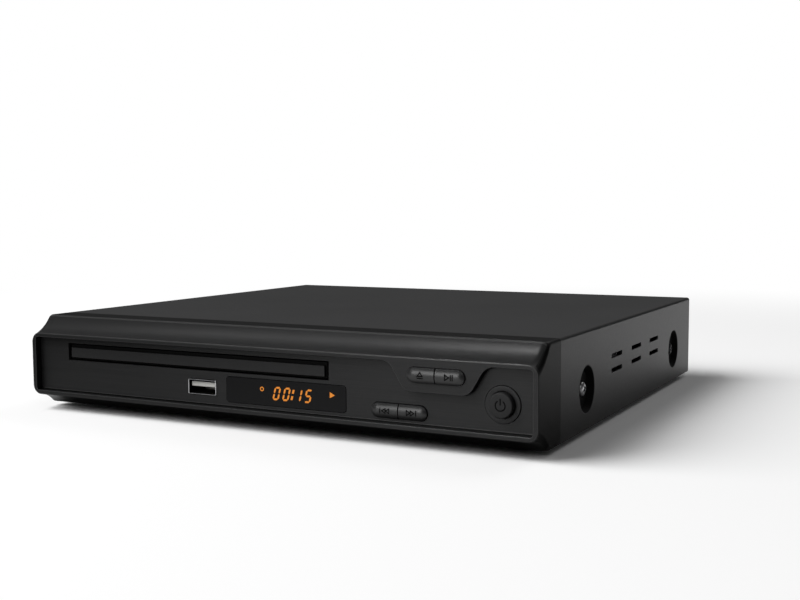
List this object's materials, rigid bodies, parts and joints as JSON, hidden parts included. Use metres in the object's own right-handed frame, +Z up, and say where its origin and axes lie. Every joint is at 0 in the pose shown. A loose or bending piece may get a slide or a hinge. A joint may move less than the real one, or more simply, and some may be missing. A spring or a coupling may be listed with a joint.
{
  "type": "disc player",
  "caption": "Compact disc player with a motor-driven tray: folded steel case, moulded front with coves, capsule buttons, loader, traverse and rear sockets.",
  "frame": {"origin": "centre of the box in plan, on the surface the feet stand on", "axes": "+X to the right seen from the front, +Y to the rear, +Z up; the tray comes out towards -Y"},
  "size_m": [0.225, 0.2158, 0.039],
  "materials": {
    "black_steel": "matt",
    "black_plastic": "satin",
    "brushed_panel": "brushed, satin",
    "gloss_black": "gloss",
    "smoked_window": "smoked, gloss",
    "rubber": "matt",
    "zinc_steel": "zinc plated",
    "screw_steel": "bright",
    "bright_steel": "bright",
    "green_board": "solder resist",
    "brown_board": "paper laminate",
    "black_parts": "moulded",
    "ribbon": "flat cable",
    "white_plastic": "moulded",
    "grey_plastic": "moulded",
    "dark_plastic": "moulded",
    "ivory_plastic": "acetal",
    "ferrite": "sintered",
    "copper_tape": "taped winding and ferrite",
    "aluminium": "extruded",
    "blue_sleeve": "sleeve",
    "lead_wire": "insulation"
  },
  "bodies": {
    "player": {"bottom_chassis": "zinc_steel", "top_cover": "black_steel", "front_bezel": "black_plastic", "front_panel": "brushed_panel", "display_window": "smoked_window", "feet": "rubber", "cover_screws": "screw_steel", "power_ring": "gloss_black", "front_board": "green_board", "display_module": "black_parts", "key_switches": "screw_steel", "ir_receiver": "black_parts", "usb_shell": "bright_steel", "usb_tongue": "white_plastic", "front_ribbon": "ribbon", "loader_frame": "grey_plastic", "drive_belt": "rubber", "loading_motor": "screw_steel", "clamper_bridge": "zinc_steel", "loader_screws": "screw_steel", "main_board": "green_board", "main_chips": "black_parts", "rca_jacks": "black_parts", "scart_socket": "black_parts", "hdmi_socket": "bright_steel", "mains_inlet": "black_parts", "power_board": "brown_board", "transformer": "copper_tape", "mains_capacitor": "blue_sleeve", "output_capacitors": "black_parts", "heat_sink": "aluminium", "board_screws": "screw_steel", "rear_screws": "screw_steel", "power_ribbon": "ribbon", "mains_leads": "lead_wire"},
    "tray": {"disc_tray": "dark_plastic", "tray_door": "black_plastic"},
    "tray_gear_body": {"tray_gear": "ivory_plastic"},
    "pulley_gear_body": {"pulley_gear": "ivory_plastic"},
    "motor_pulley_body": {"motor_pulley": "ivory_plastic"},
    "cam": {"cam_slider": "white_plastic"},
    "traverse": {"lift_frame": "dark_plastic", "lift_dampers": "rubber", "traverse_plate": "zinc_steel", "spindle_motor": "screw_steel", "guide_rods": "bright_steel", "sled_motor": "screw_steel"},
    "spindle": {"turntable": "dark_plastic"},
    "pickup": {"pickup_sled": "aluminium"},
    "lens": {"pickup_lens": "blue_sleeve"},
    "sled_gear_body": {"sled_gear": "ivory_plastic"},
    "sled_pinion_body": {"sled_pinion": "ivory_plastic"},
    "puck": {"clamper": "white_plastic", "clamper_magnet": "ferrite"},
    "power_key": {"power_button": "gloss_black"},
    "eject_key": {"eject_button": "gloss_black"},
    "play_key": {"play_button": "gloss_black"},
    "previous_key": {"previous_button": "gloss_black"},
    "next_key": {"next_button": "gloss_black"}
  },
  "joints": [
    {"name": "tray_slide", "type": "slide", "parent": "player", "child": "tray", "axis": [0, -1, 0], "range_m": [0, 0.13]},
    {"name": "tray_gear_spin", "type": "hinge", "parent": "player", "child": "tray_gear_body", "pos_m": [0.0182, -0.0729, 0.021], "axis": [0, 0, 1], "range_deg": [-1067, 2]},
    {"name": "pulley_gear_spin", "type": "hinge", "parent": "player", "child": "pulley_gear_body", "pos_m": [-0.00175, -0.0729, 0.019], "axis": [0, 0, 1], "range_deg": [-2, 3993]},
    {"name": "motor_pulley_spin", "type": "hinge", "parent": "player", "child": "motor_pulley_body", "pos_m": [-0.03775, -0.0729, 0.018], "axis": [0, 0, 1], "range_deg": [-2, 14353]},
    {"name": "traverse_tilt", "type": "hinge", "parent": "player", "child": "traverse", "pos_m": [-0.0317, 0.0401, 0.0155], "axis": [1, 0, 0], "range_deg": [0, 4.2]},
    {"name": "cam_slide", "type": "slide", "parent": "player", "child": "cam", "axis": [-1, 0, 0], "range_m": [0, 0.0142]},
    {"name": "disc_spin", "type": "hinge", "parent": "traverse", "child": "spindle", "pos_m": [-0.0317, -0.0379, 0.024], "axis": [0, 0, 1], "continuous": true},
    {"name": "clamper_spin", "type": "hinge", "parent": "player", "child": "puck", "pos_m": [-0.0317, -0.0379, 0.03], "axis": [0, 0, 1], "continuous": true},
    {"name": "pickup_slide", "type": "slide", "parent": "traverse", "child": "pickup", "axis": [0, 1, 0], "range_m": [0, 0.034]},
    {"name": "lens_focus", "type": "slide", "parent": "pickup", "child": "lens", "axis": [0, 0, 1], "range_m": [-0.0004, 0.0004], "stiffness_N_per_m": 40},
    {"name": "sled_gear_spin", "type": "hinge", "parent": "traverse", "child": "sled_gear_body", "pos_m": [-0.0697, -0.0049, 0.019], "axis": [0, 0, 1], "range_deg": [-2, 652]},
    {"name": "sled_pinion_spin", "type": "hinge", "parent": "traverse", "child": "sled_pinion_body", "pos_m": [-0.0697, -0.0129, 0.018], "axis": [0, 0, 1], "range_deg": [-1951, 2]},
    {"name": "power_press", "type": "slide", "parent": "player", "child": "power_key", "axis": [0, 1, 0], "range_m": [0, 0.0006], "stiffness_N_per_m": 1500},
    {"name": "eject_press", "type": "slide", "parent": "player", "child": "eject_key", "axis": [0, 1, 0], "range_m": [0, 0.0006], "stiffness_N_per_m": 1500},
    {"name": "play_press", "type": "slide", "parent": "player", "child": "play_key", "axis": [0, 1, 0], "range_m": [0, 0.0006], "stiffness_N_per_m": 1500},
    {"name": "previous_press", "type": "slide", "parent": "player", "child": "previous_key", "axis": [0, 1, 0], "range_m": [0, 0.0006], "stiffness_N_per_m": 1500},
    {"name": "next_press", "type": "slide", "parent": "player", "child": "next_key", "axis": [0, 1, 0], "range_m": [0, 0.0006], "stiffness_N_per_m": 1500}
  ],
  "couplings": [
    {"joint": "tray_gear_spin", "follows": "tray_slide", "rad_per_m": -142.86},
    {"joint": "pulley_gear_spin", "follows": "tray_slide", "rad_per_m": 535.71},
    {"joint": "motor_pulley_spin", "follows": "tray_slide", "rad_per_m": 1926.7},
    {"joint": "cam_slide", "follows": "traverse_tilt", "m_per_rad": 0.19099},
    {"joint": "clamper_spin", "follows": "disc_spin", "ratio": 1},
    {"joint": "sled_gear_spin", "follows": "pickup_slide", "rad_per_m": 333.33},
    {"joint": "sled_pinion_spin", "follows": "pickup_slide", "rad_per_m": -1000}
  ]
}
